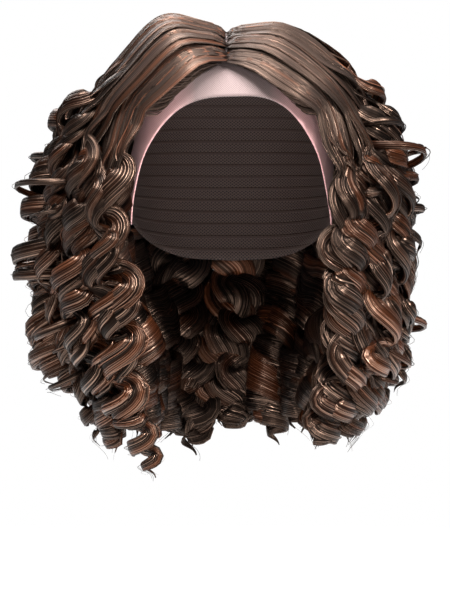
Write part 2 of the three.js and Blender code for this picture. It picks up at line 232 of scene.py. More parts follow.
class Lock:
    """Lock's centre line: an axis through points, wound into a corkscrew from coil_start on."""

    STEPS = 40
    RUN_ON = 30

    def __init__(self, points, coil_index, coil_radius, turn_sense, profiles):
        points = np.array(points, float)
        ends = 2 * points[:1] - points[1:2], 2 * points[-1:] - points[-2:-1]
        knots = np.vstack([ends[0], points, ends[1]])
        t = np.linspace(0, 1, self.STEPS, endpoint=False)[:, None]
        spans = []
        for p0, p1, p2, p3 in zip(knots, knots[1:], knots[2:], knots[3:]):
            bend = t * (1 - t) * ((p2 - p0) / 2 * (1 - t) - (p3 - p1) / 2 * t)
            spans.append(p1 + (p2 - p1) * ease(t) + bend)
        line = np.vstack(spans + [points[-1:]])
        run_on = unit(line[-1] - line[-2]) * self.RUN_ON
        line = np.vstack([line, line[-1] + run_on])
        self.line = line
        self.distance = np.r_[0, np.cumsum(np.linalg.norm(np.diff(line, axis=0), axis=1))]
        self.along = unit(np.gradient(line, self.distance, axis=0))
        self.length = self.distance[-2]
        self.coil_start = self.distance[self.STEPS * coil_index]
        self.coil_radius = coil_radius
        self.turn_sense = turn_sense
        self.profiles = profiles
        self.pitch = PITCH * RNG.uniform(*PITCH_RANGE)
        self.part_x = None
        self.part_blur = 0
        self.aside = 0
        self.behind = 0
        self.fullness = FULLNESS

    def read(self, values, s):
        return np.stack([np.interp(s, self.distance, values[:, i]) for i in range(3)], -1)

    def turns(self, s, early=0.0):
        """Turns of the corkscrew up to distances along the axis, with some turns begun early."""
        return np.maximum(0, (s - self.coil_start) / self.pitch + early)

    def half_sizes(self, s):
        """Half width and half thickness of the lock at distances along its axis."""
        wave, ringlet = self.profiles
        tail = (s - self.coil_start) / (self.length - self.coil_start)
        sizes = []
        for column in ("width", "thickness"):
            top = wave.at(column, s / self.coil_start)
            sizes.append(np.where(tail < 0, top, ringlet.at(column, np.clip(tail, 0, 1))))
        return sizes

    def frame(self, s):
        """Places on the axis, and the directions out from the head and across the lock there."""
        axis = self.read(self.line, s)
        along = unit(self.read(self.along, s))
        out = axis - HEAD_CENTRE
        out = unit(out - dot(out, along) * along)
        across = np.cross(along, out)
        aside = self.aside * ramp(s, 0.6 * self.coil_start, self.coil_start)
        return axis + across * aside[..., None], out, across

    def places(self, s, across, up, angle, reach, flat, shift):
        """Places across and up from a corkscrew round the axis, and their outward directions.

        flat turns the corkscrew into a wave that faces outward, and shift moves it across and out.
        """
        axis, out, beside = self.frame(s)
        cos, sin = np.cos(angle)[..., None], np.sin(angle)[..., None]
        shallow = 1 - WAVY_SHALLOW * flat[..., None]
        centre = axis + (out * cos * shallow + beside * sin) * reach[..., None]
        centre = centre + beside * shift[0][..., None] + out * shift[1][..., None]
        normal = (out * cos + beside * sin) * (1 - flat[..., None]) + out * flat[..., None]
        along = unit(np.gradient(centre, axis=1))
        side = unit(np.cross(along, normal))
        top = np.cross(side, along)
        apart = side * (1 - flat[..., None]) + beside * flat[..., None]
        places = centre + apart * across[..., None] + top * up[..., None]
        return clear_of_cloth(places, CLOTH_CLEARANCE), top


def clear_of_cloth(places, clearance):
    """Places moved out from the head where they would come nearer to it than the clearance."""
    out = unit(places - HEAD_CENTRE)
    distance = np.linalg.norm(places - HEAD_CENTRE, axis=-1) - head_radius(out)
    return places + out * np.maximum(clearance - distance, 0)[..., None]


def outer_ring_at(azimuth, z):
    angle = math.radians(azimuth)
    side = OUTER_RING.at("left" if azimuth < 0 else "right", z)
    depth = OUTER_RING.at("front" if math.cos(angle) > 0 else "back", z)
    radius = 1 / np.hypot(math.sin(angle) / side, math.cos(angle) / depth)
    return np.array([radius * math.sin(angle), -radius * math.cos(angle), z])


def inner_ring_at(azimuth, z):
    out = direction_at(azimuth, 90)
    radius = head_radius(out) * INNER_RING.at("share", z) + INNER_RING.at("stand_off", z)
    return out * [radius, radius, 0] + [0, 0, z]


def heights(top, end):
    return np.linspace(top, end, round((top - end) / AXIS_STEP) + 1)


def outer_root(side, row):
    angle = math.radians(row["root_angle"])
    x = PART_X + side * row["root_x"]
    return unit(np.array([x, -HEAD_CROWN * math.sin(angle), HEAD_CROWN * math.cos(angle)]))


def outer_lock(side, row):
    azimuth = side * row["azimuth"]
    root = outer_root(side, row)
    hang = unit(outer_ring_at(azimuth, HANG_Z) - HEAD_CENTRE)
    points = [off_head(root, ROOT_OFFSET)]
    for lift in LIFTS:
        beside = lift["left" if side < 0 else "right"]
        distance = row["lift"] * (beside + (lift["back"] - beside) * row["behind"])
        points.append(off_head(turned(root, hang, lift["share"]), distance))
    end = row["end_left" if side < 0 else "end_right"]
    points += [outer_ring_at(azimuth, z) for z in heights(HANG_Z, end)]
    lock = Lock(points, 3, OUTER_COIL_RADIUS, -side, (WAVE_PROFILE, RINGLET_PROFILE))
    if row["root_x"]:
        lock.part_x = PART_X + side * (PART_HALF_WIDTH - PART_CROSSING * row["behind"])
    lock.aside = -side * row["aside"]
    lock.behind = row["behind"]
    lock.part_blur = 0 if row["root_angle"] > PART_END_ANGLE else PART_BLUR
    return lock


def temple_lock(side, row):
    """Short lock from the seam at the temple, out and down behind the lace."""
    azimuth = side * (row["azimuth"] + TEMPLE_SWEEP)
    points = []
    for point in TEMPLE_POINTS:
        turn = side * (row["azimuth"] + TEMPLE_SWEEP * point["share"])
        out = direction_at(turn, row["polar"] + TEMPLE_DROP * point["share"])
        points.append(off_head(out, np.array(point["stand_off"])))
    out = direction_at(azimuth, 90)
    for z in heights(points[-1][2] - AXIS_STEP, row["end"]):
        points.append(inner_ring_at(azimuth, z) + out * TEMPLE_STAND_OFF)
    return Lock(points, 1, TEMPLE_COIL_RADIUS, -side, (TEMPLE_PROFILE, TEMPLE_PROFILE))


def inner_lock(azimuth):
    points = [off_head(direction_at(azimuth, INNER_ROOT_ANGLE), ROOT_OFFSET)]
    uneven = math.sin(azimuth * 12.99 + 1)
    end = INNER_END_Z + INNER_END_SPREAD * uneven
    points += [inner_ring_at(azimuth, z) for z in heights(INNER_TOP_Z, end)]
    sense = -np.sign(azimuth)
    lock = Lock(points, 1, INNER_COIL_RADIUS, sense, (INNER_PROFILE, INNER_PROFILE))
    lock.behind = INNER_BEHIND
    lock.fullness = INNER_FULLNESS
    return lock


# Colours, in sRGB from 0 to 255
def linear(colour):
    c = np.array(colour, float) / 255
    return np.where(c < 0.04045, c / 12.92, ((c + 0.055) / 1.055) ** 2.4)


DARK, BROWN, AUBURN, COPPER = [
    linear(c) for c in ((15, 13, 12), (38, 30, 27), (122, 64, 37), (170, 96, 56))
]
# Painted shade: ribbon bodies at 0.6 of their tint, as hair in the shadow of the strands lying on them
RIBBON_PAINTED_SHADE = 0.6
GLINT = (255, 208, 180)
# Lace colours: the temples' redder mauve is the lace's tone, but its far greater lightness there is
# painted light for temples the hair shades, and the brow's pale pink is dimmed against the top light
BROW_LACE, TEMPLE_LACE_PAINTED_LIGHT = ((124, 105, 103), (137, 118, 115)), ((240, 178, 176), (250, 192, 190))
BROW_HOLES, TEMPLE_HOLES_PAINTED_LIGHT = (101, 82, 80), (212, 158, 156)
NET_HOLES, NET_THREADS, WEFT = (24, 18, 17), (84, 66, 60), (58, 42, 36)


def rounded(x):
    """A circle's coordinate, pushed out a little towards a square's."""
    return np.sign(x) * np.abs(x) ** 0.85


# Meshes made of many closed sweeps
class Sweeps:
    """Sweeps joined in one mesh: each is a row of rings of the same number of sides."""

    def __init__(self):
        self.points, self.tints, self.corners, self.sizes = [], [], [], []
        self.bake_map, self.strand_map = [], []
        self.count = 0
        self.strips = 0

    def add(self, paths, ups, widths, thicknesses, tints, sides, lengths, ridges):
        """Adds sweeps along paths. tints and ridges hold a value for each corner of each ring."""
        count, rings = paths.shape[:2]
        along = unit(np.gradient(paths, axis=1))
        side = unit(np.cross(along, ups))
        up = np.cross(side, along)
        turn = 2 * np.pi * np.arange(sides) / sides
        x, y = rounded(np.cos(turn)), rounded(np.sin(turn))
        offsets = (widths[..., None] * x)[..., None] * side[:, :, None]
        offsets = offsets + (thicknesses[..., None] * y * ridges)[..., None] * up[:, :, None]
        self.points.append(clear_of_cloth(paths[:, :, None] + offsets, ROOT_SEAT).reshape(-1, 3))
        self.tints.append(tints.reshape(-1, 3))

        start = self.count + rings * sides * np.arange(count)[:, None, None]
        start = start + sides * np.arange(rings - 1)[None, :, None]
        here, beside = start + np.arange(sides), start + (np.arange(sides) + 1) % sides
        walls = np.stack([here, beside, beside + sides, here + sides], -1)
        first = start[:, 0] + np.arange(sides)[::-1]
        last = start[:, -1] + sides + np.arange(sides)
        self.corners += [walls.ravel(), first.ravel(), last.ravel()]
        self.sizes += [np.full(walls.size // 4, 4), np.full(2 * count, sides)]
        self.add_bake_map(count, rings, sides)
        self.add_strand_map(widths, lengths, sides)
        self.count += count * rings * sides

    def add_bake_map(self, count, rings, sides):
        """A strip of the map for each side of each sweep, with its ends in the strip's own ends."""
        strip = self.strips + sides * np.arange(count)[:, None, None] + np.arange(sides)
        strip = np.broadcast_to(strip, (count, rings - 1, sides))
        low = np.broadcast_to(np.arange(rings - 1)[:, None] / (rings - 1), strip.shape)
        high = low + 1 / (rings - 1)
        u = np.stack([strip + 0.1, strip + 0.9, strip + 0.9, strip + 0.1], -1)
        v = np.stack([low, low, high, high], -1)
        self.bake_map.append(np.stack([u, v], -1).reshape(-1, 2))
        turn = 2 * np.pi * np.arange(sides) / sides
        for v_end in (0.25, rings - 1.25):
            u = self.strips + sides * np.arange(count)[:, None] + 0.5 + 0.3 * np.cos(turn)
            v = np.broadcast_to((v_end + 0.2 * np.sin(turn)) / (rings - 1), u.shape)
            self.bake_map.append(np.stack([u, v], -1).reshape(-1, 2))
        self.strips += count * sides

    def add_strand_map(self, widths, lengths, sides):
        """Map in millimetres: round each sweep and along it, each sweep at a place of its own."""
        count, rings = lengths.shape
        step = (4 * widths.max(1) / sides)[:, None, None]
        around = RNG.uniform(0, 900, (count, 1, 1)) + step * np.arange(sides)
        around = np.broadcast_to(around, (count, rings - 1, sides))
        low = np.broadcast_to(lengths[:, :-1, None], around.shape)
        high = np.broadcast_to(lengths[:, 1:, None], around.shape)
        u = np.stack([around, around + step, around + step, around], -1)
        v = np.stack([low, low, high, high], -1)
        self.strand_map.append(np.stack([u, v], -1).reshape(-1, 2))
        for end in (0, -1):
            v = np.broadcast_to(lengths[:, end, None], (count, sides))
            self.strand_map.append(np.stack([around[:, 0], v], -1).reshape(-1, 2))

    def object(self, name, material):
        corners, sizes = np.concatenate(self.corners), np.concatenate(self.sizes)
        mesh = new_mesh(name, np.vstack(self.points), corners, sizes)
        tints = np.vstack(self.tints)
        colours = np.hstack([tints, np.ones((len(tints), 1))])
        tint = mesh.attributes.new("tint", "FLOAT_COLOR", "POINT")
        tint.data.foreach_set("color", colours.astype(np.float32).ravel())
        bake_map = np.vstack(self.bake_map) / [self.strips, 1]
        for key, values in (("OFBake", bake_map), ("strand", np.vstack(self.strand_map))):
            layer = mesh.uv_layers.new(name=key)
            layer.data.foreach_set("uv", values.astype(np.float32).ravel())
        return new_object(name, mesh, material)


def new_mesh(name, points, corners, sizes):
    mesh = bpy.data.meshes.new(name)
    mesh.vertices.add(len(points))
    mesh.vertices.foreach_set("co", (points * MM).astype(np.float32).ravel())
    mesh.loops.add(len(corners))
    mesh.loops.foreach_set("vertex_index", corners.astype(np.int32))
    mesh.polygons.add(len(sizes))
    mesh.polygons.foreach_set("loop_start", np.r_[0, np.cumsum(sizes)[:-1]].astype(np.int32))
    mesh.polygons.foreach_set("use_smooth", np.ones(len(sizes), bool))
    mesh.update(calc_edges=True)
    return mesh


def new_object(name, mesh, material):
    piece = bpy.data.objects.new(name, mesh)
    bpy.context.scene.collection.objects.link(piece)
    mesh.materials.append(material)
    return piece


# Materials
class Nodes:
    """A new material's node tree, with short ways to add and link nodes."""

    def __init__(self, name):
        self.material = bpy.data.materials.new(name)
        self.material.use_nodes = True
        self.tree = self.material.node_tree
        self.shader = self.tree.nodes["Principled BSDF"]

    def add(self, kind, inputs=(), **settings):
        node = self.tree.nodes.new("ShaderNode" + kind)
        for key, value in settings.items():
            setattr(node, key, value)
        for key, value in dict(inputs).items():
            self.feed(node.inputs[key], value)
        return node

    def feed(self, socket, value):
        if isinstance(value, bpy.types.NodeSocket):
            self.tree.links.new(value, socket)
        else:
            socket.default_value = value

    def math(self, operation, *values):
        return self.add("Math", enumerate(values), operation=operation).outputs[0]

    def between(self, value, low, high, at_low=0.0, at_high=1.0, **settings):
        """A value's range from low to high, stretched to the range from at_low to at_high."""
        ends = {0: value, 1: low, 2: high, 3: at_low, 4: at_high}
        return self.add("MapRange", ends, **settings).outputs[0]

    def mix(self, share, a, b, blend="MIX"):
        node = self.add("Mix", data_type="RGBA", blend_type=blend)
        self.feed(node.inputs[0], share)
        self.feed(node.inputs[6], a)
        self.feed(node.inputs[7], b)
        return node.outputs[2]

    def ramp(self, value, *stops):
        node = self.add("ValToRGB", {0: value})
        elements = node.color_ramp.elements
        while len(elements) < len(stops):
            elements.new(0.5)
        for element, (place, colour) in zip(elements, stops):
            element.position = place
            element.color = colour
        return node.outputs[0]


def grey(value):
    return (value, value, value, 1)


def rgba(colour):
    return (*linear(colour), 1)


def hair_material():
    nodes = Nodes("hair")
    tint = nodes.add("Attribute", attribute_name="tint").outputs["Color"]
    place = nodes.add("UVMap", uv_map="strand").outputs[0]
    stretched = nodes.add("Mapping", {"Vector": place, "Scale": (1.25, 0.006, 1)}).outputs[0]
    noise = {"Vector": stretched, "Scale": 1.0, "Detail": 1.5, "Roughness": 0.5}
    streak = nodes.add("TexNoise", noise).outputs[0]
    down = nodes.add("SeparateXYZ", {0: place}).outputs[1]
    depth = nodes.between(down, 60.0, 130.0, 0.5, 1.0)
    streak = nodes.math("MULTIPLY_ADD", nodes.math("SUBTRACT", streak, 0.5), depth, 0.5)
    # Streak shade: partly the strands' own uneven tone, and its dark end painted shade in the gaps
    # between strands
    shade = nodes.ramp(streak, (0.36, grey(0.2)), (0.66, grey(1.9)))
    kinked = nodes.add("Mapping", {"Vector": place, "Scale": (0.7, 0.05, 1)}).outputs[0]
    kink = nodes.add("TexNoise", {"Vector": kinked, "Scale": 1.0, "Detail": 1.0}).outputs[0]
    # Painted light: the base colour is up to 2.7 times lighter over the crown near the roots and 0.28
    # times as light down the curls, as where light from above falls on the crown
    painted_crown_light = nodes.between(down, 40.0, 125.0, 2.7, 0.28)
    shade = nodes.mix(1.0, shade, painted_crown_light, "MULTIPLY")
    nodes.feed(nodes.shader.inputs["Base Color"], nodes.mix(1.0, tint, shade, "MULTIPLY"))
    gloss = nodes.between(streak, 0.4, 0.62, 0.58, 0.3)
    nodes.feed(nodes.shader.inputs["Roughness"], gloss)
    height = nodes.math("ADD", streak, nodes.math("MULTIPLY", kink, 0.7))
    bump = nodes.add("Bump", {"Strength": 1.0, "Distance": 0.0009, "Height": height})
    nodes.feed(nodes.shader.inputs["Normal"], bump.outputs[0])
    tangent = nodes.add("Tangent", direction_type="UV_MAP", uv_map="strand")
    nodes.feed(nodes.shader.inputs["Tangent"], tangent.outputs[0])
    nodes.shader.inputs["Anisotropic"].default_value = 0.7
    shine = nodes.between(streak, 0.51, 0.7, 0.03, 1.0)
    shine = nodes.math("ADD", shine, nodes.between(down, 40.0, 110.0, 0.16, 0.0))
    shine = nodes.math("MULTIPLY", shine, nodes.between(down, 0.0, 35.0, 0.4, 1.0))
    nodes.feed(nodes.shader.inputs["Specular IOR Level"], shine)
    nodes.shader.inputs["IOR"].default_value = 2.1
    nodes.shader.inputs["Specular Tint"].default_value = rgba(GLINT)
    return nodes.material


def net_pattern(nodes, pitch):
    """1 on the threads of a diamond net on the map named cloth and 0 in its holes, and the way down."""
    place = nodes.add("UVMap", uv_map="cloth").outputs[0]
    split = nodes.add("SeparateXYZ", {0: place})
    x, y = split.outputs[0], split.outputs[1]
    threads = []
    for operation in ("ADD", "SUBTRACT"):
        turn = nodes.math("MULTIPLY", nodes.math(operation, x, y), math.pi / pitch)
        threads.append(nodes.math("ABSOLUTE", nodes.math("COSINE", turn)))
    thread = nodes.math("MAXIMUM", *threads)
    return nodes.between(thread, 0.75, 0.97), y


def lace_material():
    nodes = Nodes("lace")
    thread, _ = net_pattern(nodes, 1.5)
    place = nodes.add("TexCoord").outputs["Object"]
    cloud = nodes.add("TexNoise", {"Vector": place, "Scale": 45.0, "Detail": 4.0}).outputs[0]
    aside = nodes.math("ABSOLUTE", nodes.add("SeparateXYZ", {0: place}).outputs[0])
    # Painted light: lace threads and holes much lighter at the temples, which the hair shades, than at
    # the brow, where the top light falls
    temple = nodes.between(aside, 0.025, 0.055)
    brow_lace, temple_threads_painted_light = [
        nodes.ramp(cloud, (0.3, rgba(low)), (0.7, rgba(high))) for low, high in (BROW_LACE, TEMPLE_LACE_PAINTED_LIGHT)
    ]
    holes = nodes.mix(temple, rgba(BROW_HOLES), rgba(TEMPLE_HOLES_PAINTED_LIGHT))
    threads = nodes.mix(temple, brow_lace, temple_threads_painted_light)
    nodes.feed(nodes.shader.inputs["Base Color"], nodes.mix(thread, holes, threads))
    bump = nodes.add("Bump", {"Strength": 0.5, "Distance": 0.0003, "Height": thread})
    nodes.feed(nodes.shader.inputs["Normal"], bump.outputs[0])
    nodes.shader.inputs["Roughness"].default_value = 0.7
    nodes.shader.inputs["Sheen Weight"].default_value = 0.25
    return nodes.material


def net_material():
    nodes = Nodes("cap_net")
    thread, down = net_pattern(nodes, 2.2)
    row = nodes.math("ABSOLUTE", nodes.math("COSINE", nodes.math("MULTIPLY", down, math.pi / 9)))
    weft = nodes.between(row, 0.9, 0.97)
    net = nodes.mix(thread, rgba(NET_HOLES), rgba(NET_THREADS))
    nodes.feed(nodes.shader.inputs["Base Color"], nodes.mix(weft, net, rgba(WEFT)))
    height = nodes.math("ADD", nodes.math("MULTIPLY", thread, 0.4), weft)
    bump = nodes.add("Bump", {"Strength": 0.7, "Distance": 0.0008, "Height": height})
    nodes.feed(nodes.shader.inputs["Normal"], bump.outputs[0])
    nodes.shader.inputs["Roughness"].default_value = 0.8
    return nodes.material


# Cloth: lace panel and net cap
def cloth(name, azimuths, polars, wall, material, closed):
    """Closed shell of an even wall on the head form. polars has a row of angles for each step down."""
    rows, columns = polars.shape
    outs = direction_at(np.broadcast_to(azimuths, polars.shape), polars)
    skins = np.stack([off_head(outs, np.full(polars.shape, d)) for d in (0.0, wall)])
    at = np.arange(2 * rows * columns).reshape(2, rows, columns)
    if closed:
        at = np.concatenate([at, at[:, :, :1]], axis=2)
    quads = [np.stack([at[1, :-1, :-1], at[1, 1:, :-1], at[1, 1:, 1:], at[1, :-1, 1:]], -1)]
    quads.append(np.stack([at[0, :-1, :-1], at[0, :-1, 1:], at[0, 1:, 1:], at[0, 1:, :-1]], -1))
    rims = [(at[0, 0], at[1, 0]), (at[1, -1], at[0, -1])]
    if not closed:
        rims += [(at[1, :, 0], at[0, :, 0]), (at[0, :, -1], at[1, :, -1])]
    for a, b in rims:
        quads.append(np.stack([a[:-1], b[:-1], b[1:], a[1:]], -1))
    corners = np.concatenate([q.reshape(-1) for q in quads])
    mesh = new_mesh(name, skins.reshape(-1, 3), corners, np.full(len(corners) // 4, 4))
    around = np.radians(azimuths) * HEAD_BREADTH
    down = np.radians(polars) * HEAD_CROWN
    flat = np.stack([np.broadcast_to(around, polars.shape), down], -1)
    flat = np.tile(flat.reshape(-1, 2), (2, 1))[corners]
    mesh.uv_layers.new(name="cloth").data.foreach_set("uv", flat.astype(np.float32).ravel())
    return new_object(name, mesh, material)


def lace_front(material):
    azimuths = np.linspace(-LACE_AZIMUTH, LACE_AZIMUTH, 129)
    share = np.linspace(0, 1, 33)[:, None]
    seam, edge = LACE_EDGES.at("seam", azimuths), LACE_EDGES.at("edge", azimuths)
    return cloth("lace_panel", azimuths, seam + (edge - seam) * share, LACE_WALL, material, False)


def net_cap(material):
    azimuths = np.arange(0, 360, 3.0)
    turn = np.where(azimuths > 180, azimuths - 360, azimuths)
    seam = LACE_EDGES.at("seam", turn)
    edge = np.where(np.abs(turn) < LACE_AZIMUTH, seam, NET_EDGES.at("edge", np.abs(turn)))
    edge = edge - math.degrees(SEAM_GAP / HEAD_BREADTH)
    share = np.linspace(0.02, 1, 41)[:, None]
    return cloth("net_cap_shell", azimuths, edge * share, NET_WALL, material, True)


# Hair of one lock: ribbons of combed hair, strands on them, and stray hairs
class Ribbons:
    """How each ribbon of a lock runs: where it lies across the lock and how its curl differs.

    The main ribbons run the lock's length. The layered ones lie on top, end at heights all down it
    and, as corkscrews, curl over their last turns only. Loops are thin corkscrews that stand off it.
    A lock's other ribbons all wave from side to side, or all turn as corkscrews.
    """

    def __init__(
        self, lock, main, layered, loops, auburn, early=0, tightness=1, wavy=0.5, spring=0
    ):
        count = main + layered + loops
        self.count = count
        self.layered = np.arange(count) >= main
        self.loop = np.arange(count) >= main + layered
        side_by_side = (np.arange(main) + 0.5) / main * 2 - 1
        on_top = RNG.uniform(-LAYERED_MIDDLE, LAYERED_MIDDLE, layered + loops)
        self.middle = np.r_[side_by_side, on_top]
        layered_half = RNG.uniform(*LAYERED_HALF, count)
        self.half = np.where(self.layered, layered_half, lock.fullness / main)
        self.half = np.where(self.loop, RNG.uniform(*LOOP_HALF, count), self.half)

        self.stand = np.where(self.layered, RNG.uniform(0, 1, count), 0) * spring
        flick = RNG.uniform(0, 1, count)
        self.flick = flick * np.where(self.layered, 1, MAIN_FLICK) * spring
        self.rise = RNG.normal(0, RIBBON_RISE, count) + np.where(self.layered, LAYERED_RISE, 0)
        phase = RNG.uniform(-PHASE, PHASE) * (1 + 3 * lock.behind)
        self.phase = phase + RNG.normal(0, PHASE_SPREAD, count) * (1 + 2 * lock.behind)
        self.drift = 1 + RNG.normal(0, DRIFT, count) * (1 + lock.behind)
        self.tightness = np.full(count, tightness)
        waves = (RNG.uniform(0, 1) < wavy) & ~self.loop
        corkscrews = self.layered & ~waves
        flat = np.where(waves, WAVY_FLAT, CORKSCREW_FLAT)
        self.flat = flat + RNG.uniform(-0.1, 0.1, count)
        self.swell = RNG.uniform(*SWELL, count)
        self.swell = self.swell + RNG.uniform(*SPRING_SWELL, count) * spring * corkscrews
        layered_early = RNG.uniform(0.3, 1, count) * early
        main_early = RNG.uniform(0, 0.45, count)
        self.early = np.where(self.layered, layered_early, main_early)
        self.early = self.early - LATE_FRONT * max(1 - tightness, 0)

        self.wander = RNG.uniform(*WANDER_SHARE, (4, count))
        self.wander_length = RNG.uniform(*WANDER_LENGTH, (4, count))
        self.wander_start = RNG.uniform(0, ANY_ANGLE, (4, count))
        self.hook = (self.wander[0] - WANDER_SHARE[0]) / (WANDER_SHARE[1] - WANDER_SHARE[0])
        self.root_aside = RNG.uniform(-1, 1, count) * lock.part_blur
        curled = RNG.uniform(*CURLED_TURNS, count)
        cut = RNG.uniform(FIRST_CUT, LAST_CUT * lock.turns(lock.length), count)
        self.early = np.where(corkscrews, np.minimum(self.early, curled - cut), self.early)
        cut = lock.coil_start + lock.pitch * cut
        self.end = np.where(self.layered, cut, RNG.uniform(*MAIN_ENDS, count) * lock.length)
        lit = RNG.uniform(0, 1, count) < auburn
        self.auburn = np.where(lit, RNG.uniform(0.4, 0.8, count), RNG.uniform(0, 0.12, count))


def gathered(turns):
    """0 where a lock's ribbons lie flat on the crown, 1 where they have bunched into curls."""
    return ramp(turns, *GATHER_TURNS)


def lock_places(lock, ribbons, which, s, across, up, loose, phase):
    """Places at shares across and up ribbons of a lock, and their outward directions.

    The ribbons lie side by side over the crown and part into curls of their own lower down.
    loose swells a place's curl and its distance from the ribbon's middle.
    """

    def of(values):
        return values[which][:, None]

    turns = lock.turns(s, of(ribbons.early))
    gather = gathered(turns)
    half_width, half_thickness = lock.half_sizes(np.minimum(s, lock.length))
    middle, half = of(ribbons.middle), of(ribbons.half)
    spread = 1 + CROWN_SPREAD * np.sin(np.pi * np.clip(s / lock.coil_start, 0, 1))
    spread = spread + BEHIND_SPREAD * lock.behind * (1 - ramp(s, 0, 0.5 * lock.coil_start))
    flat = (middle + across * half) * spread
    bunch = middle * BUNCH_MIDDLE + across * half * BUNCH_HALF
    a = (flat + (bunch - flat) * gather) * half_width * (1 + loose)
    dome = (DOME - DOME * flat**2) * (1 - gather)
    depth = WAVE_DEPTH + (COIL_DEPTH - WAVE_DEPTH) * gather
    rise = of(ribbons.rise) * (CROWN_RISE + (1 - CROWN_RISE) * gather)
    b = (dome + rise + up * depth) * half_thickness * (1 + loose)

    settle = ramp(turns, 0, SETTLE_TURNS)
    wanders = zip(ribbons.wander, ribbons.wander_length, ribbons.wander_start)
    aside, out, turn, swelling = [
        of(size) * settle * np.sin(s / of(length) + of(start)) for size, length, start in wanders
    ]
    left = (of(ribbons.end) - s) / lock.pitch
    wound = turns - COIL_LAG * (1 - np.exp(-turns / COIL_LAG))
    wound = wound * (LOOSE_TOP + TIGHTEN * wound) * of(ribbons.drift)
    wound = wound + END_TURNS * (1 - ramp(left, 0, END_STRETCH)) * settle
    offset = (of(ribbons.phase) + phase + WANDER_TURN * turn) * settle
    angle = lock.turn_sense * 2 * np.pi * wound + offset

    tightness = of(ribbons.tightness)
    tight = tightness + np.maximum(1 - tightness, 0) * ramp(turns, *LOOSE_TURNS)
    swell = 1 + (of(ribbons.swell) - 1 + loose * STRAND_SWELL) * settle + WANDER_SWELL * swelling
    curl_in = 1 - CURL_IN * (1 - ramp(left, 0, CURL_IN_TURNS)) * settle
    facing = of(ribbons.flat) + 0 * s
    reach = lock.coil_radius * ramp(turns, 0, OPEN_TURNS) * tight * swell * curl_in
    reach = reach * np.where(facing > 0.5, WAVY_REACH, 1)
    spring = STAND * of(ribbons.stand) * settle
    spring = spring + FLICK * of(ribbons.flick) * (1 - ramp(left, 0, FLICK_TURNS))
    hang = s - END_RISE * of(ribbons.hook) * (1 - ramp(left, 0, 1)) ** 2
    shift = WANDER * aside, WANDER * out + spring
    return lock.places(hang, a, b, angle, reach, facing, shift)


def seated(lock, paths, ups, s, root_aside):
    """Paths brought onto the cloth at their roots and drawn in to the part, and their ups."""
    if lock.part_x is not None:
        aside = paths[..., 0] - lock.part_x - root_aside
        paths[..., 0] -= aside * (1 - ramp(s, 0, PART_RISE))
    return lifted(paths, ups, s, ROOT_RISE)


def lifted(paths, ups, s, rise_length):
    """Paths that lie flat on the cloth at first and rise from it over a stretch, and their ups."""
    rise = ramp(s, 0, rise_length)[..., None]
    out = unit(paths - HEAD_CENTRE)
    seat = off_head(out, np.full(s.shape, ROOT_SEAT))
    return seat * (1 - rise) + paths * rise, unit(out * (1 - rise) + ups * rise)


# Where strands are auburn, in shares of their length
AUBURN_STARTS, AUBURN_LENGTHS, AUBURN_FADE_IN, AUBURN_FADE_OUT = (-0.3, 0.6), (0.4, 0.9), 0.2, 0.25
CROWN_AUBURN, CROWN_AUBURN_END, AUBURN_BLUR = 0.3, (0.2, 0.5), 0.15


def strand_tints(count, rings, auburn):
    """Linear colours of strands along their rings, from each strand's share of auburn."""
    along = np.linspace(0, 1, rings)
    base = DARK + (BROWN - DARK) * RNG.beta(2, 2, (count, 1, 1))
    light = AUBURN + (COPPER - AUBURN) * RNG.beta(1.5, 3, (count, 1, 1))
    start = RNG.uniform(*AUBURN_STARTS, (count, 1))
    stop = start + RNG.uniform(*AUBURN_LENGTHS, (count, 1))
    fade_in = ramp(along, start, start + AUBURN_FADE_IN)
    fade_out = 1 - ramp(along, stop, stop + AUBURN_FADE_OUT)
    share = auburn[:, None] * fade_in * fade_out
    share = share * (CROWN_AUBURN + (1 - CROWN_AUBURN) * ramp(along, *CROWN_AUBURN_END))
    return base + (light - base) * share[..., None]


def ring_distances(lock, ribbons, which, per_turn):
    """Distances of the rings along ribbons, which lie closest where a ribbon turns most."""
    end, early = ribbons.end[which][:, None], ribbons.early[which][:, None]
    fine = np.linspace(0, 1, 300) * end
    extra = END_TURNS * (1 - ramp((end - fine) / lock.pitch, 0, END_STRETCH))
    pace = per_turn * (fine / STRAIGHT_TURN + lock.turns(fine, early) + extra)
    even = np.linspace(0, 1, round(pace[:, -1].max()))
    return np.stack([np.interp(even * p[-1], p, f) for p, f in zip(pace, fine)])


# Ribbons' outline and surface: shares of their width and depth, and lengths of their waves
TIP, TIP_TURNS, ROOT_DEPTH = 0.06, (-0.05, 0.75), 0.35
FRAY, FRAY_LENGTH = 0.12, (9, 22)
GROOVE, RIDGE_WAVE, RIDGE_LENGTH, RIDGE_SPREAD = 0.07, 0.08, (15, 35), 0.05


